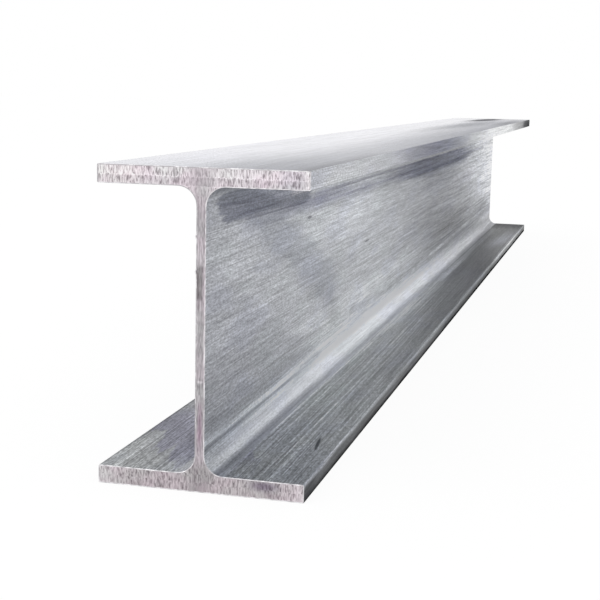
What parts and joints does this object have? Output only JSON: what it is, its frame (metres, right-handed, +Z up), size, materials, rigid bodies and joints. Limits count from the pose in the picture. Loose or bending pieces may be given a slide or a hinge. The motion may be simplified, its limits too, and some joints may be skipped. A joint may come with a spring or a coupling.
{
  "type": "steel i-beam",
  "caption": "Straight length of rolled wide-flange steel beam with parallel flanges, filleted web roots and square sawn ends.",
  "frame": {"origin": "middle of the lower flange's underside, halfway along the length", "axes": "+Z up, from the lower flange to the upper one; +Y along the length, away from the end that the picture shows nearest; +X across the flanges, to the right seen from that end"},
  "size_m": [0.3, 3.6, 0.45],
  "materials": {
    "steel": "bare steel, brushed along its length, with sawn ends"
  },
  "bodies": {
    "root": {"i_beam": "steel"}
  },
  "joints": []
}
